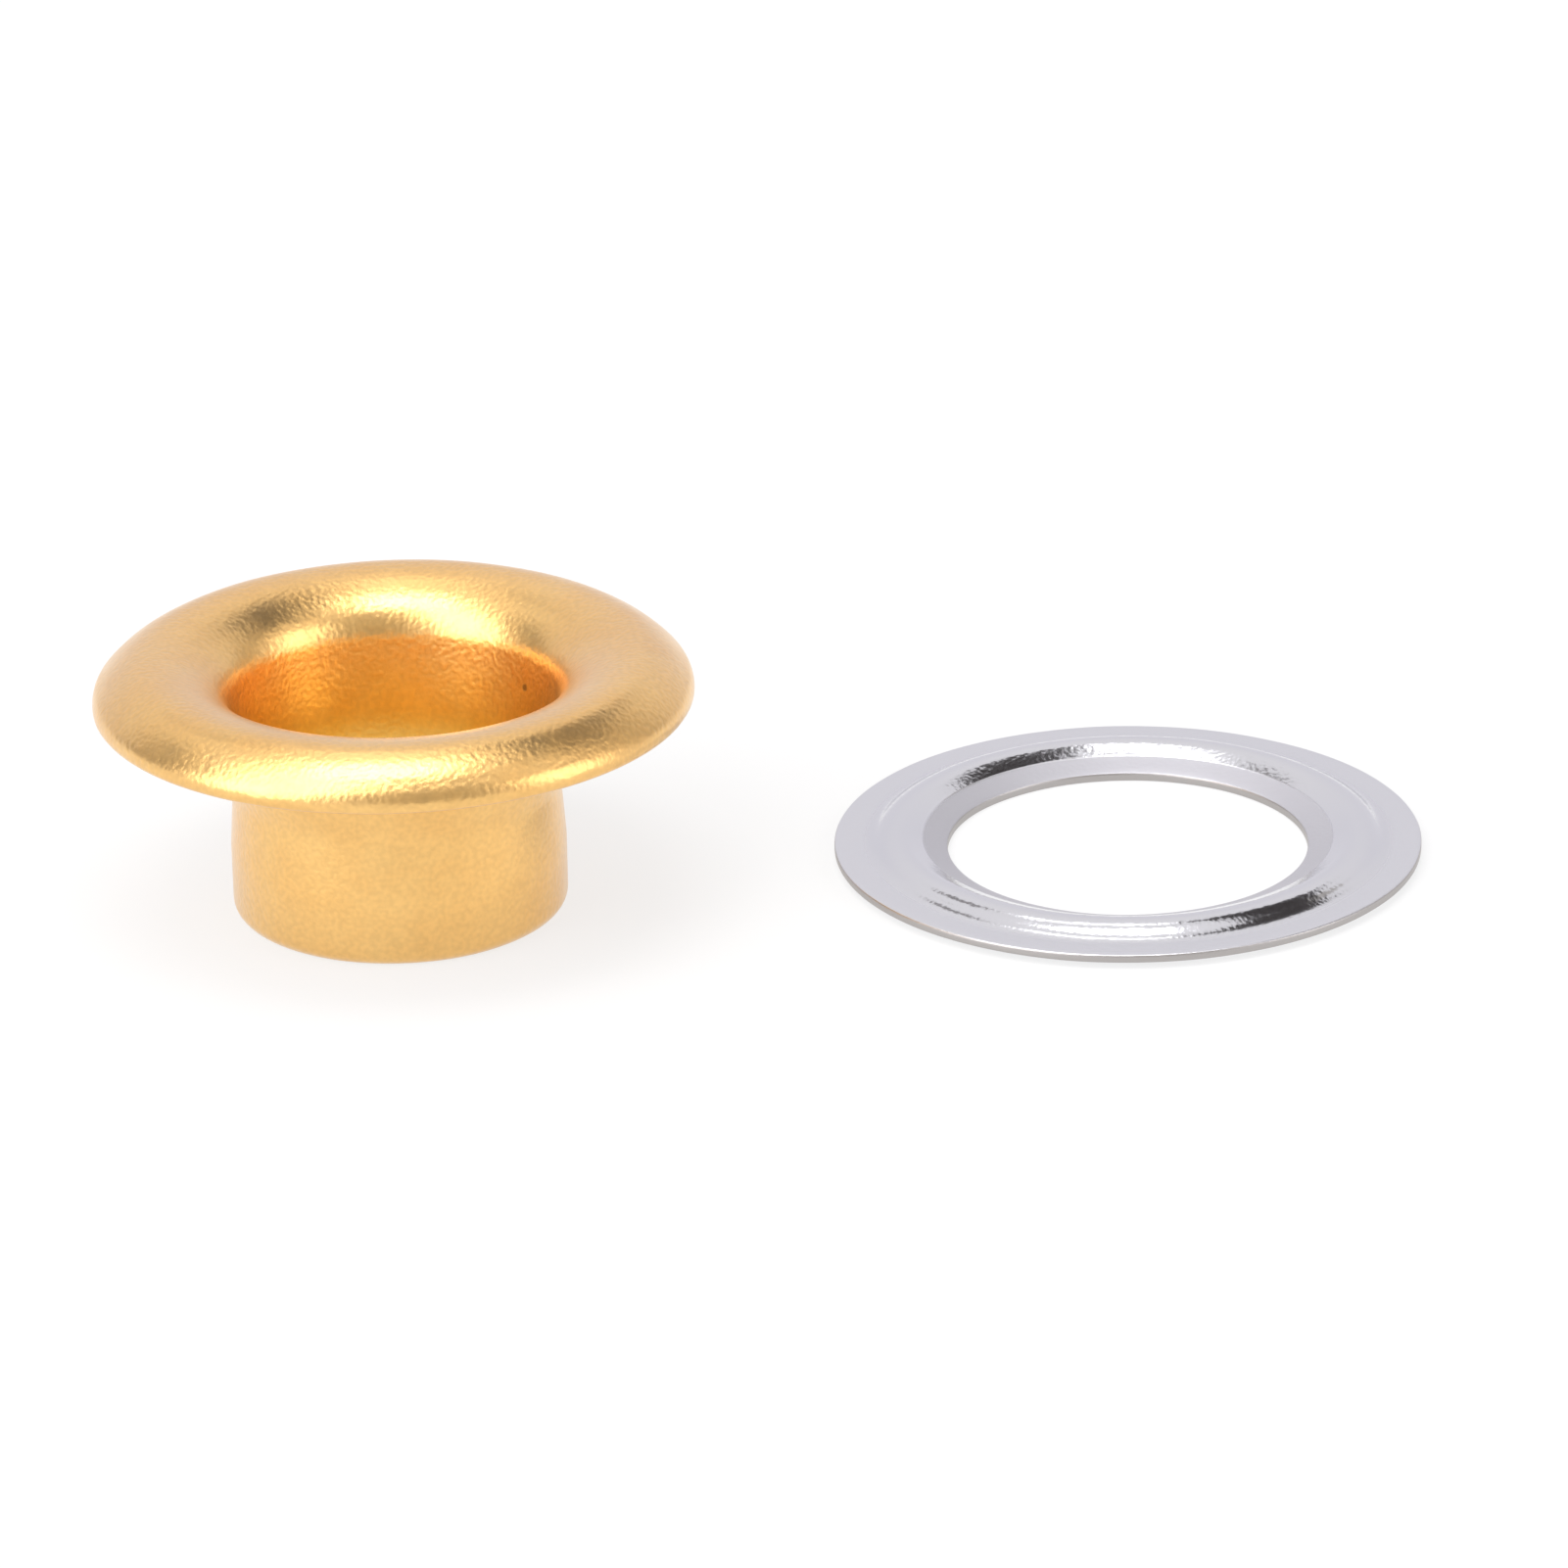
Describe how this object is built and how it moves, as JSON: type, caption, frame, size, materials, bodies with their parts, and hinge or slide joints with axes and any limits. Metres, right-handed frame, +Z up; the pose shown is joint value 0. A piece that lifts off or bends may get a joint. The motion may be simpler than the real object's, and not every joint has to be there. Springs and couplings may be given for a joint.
{
  "type": "grommet eyelet",
  "caption": "Drawn sheet-metal eyelet with a domed flange and a straight barrel, with the pressed washer that backs it when it is set.",
  "frame": {"origin": "on the eyelet's axis, at the foot of its barrel, which is the level that both pieces stand on", "axes": "+Z up along the eyelet's barrel, from its foot to its crown; +X from the eyelet's axis to the washer's axis"},
  "size_m": [0.0267, 0.012, 0.0054],
  "materials": {
    "gold_brass": "tumbled satin, lacquered gold",
    "nickel_plate": "bright nickel plate on pressed sheet"
  },
  "bodies": {
    "root": {"eyelet": "gold_brass", "washer": "nickel_plate"}
  },
  "joints": []
}
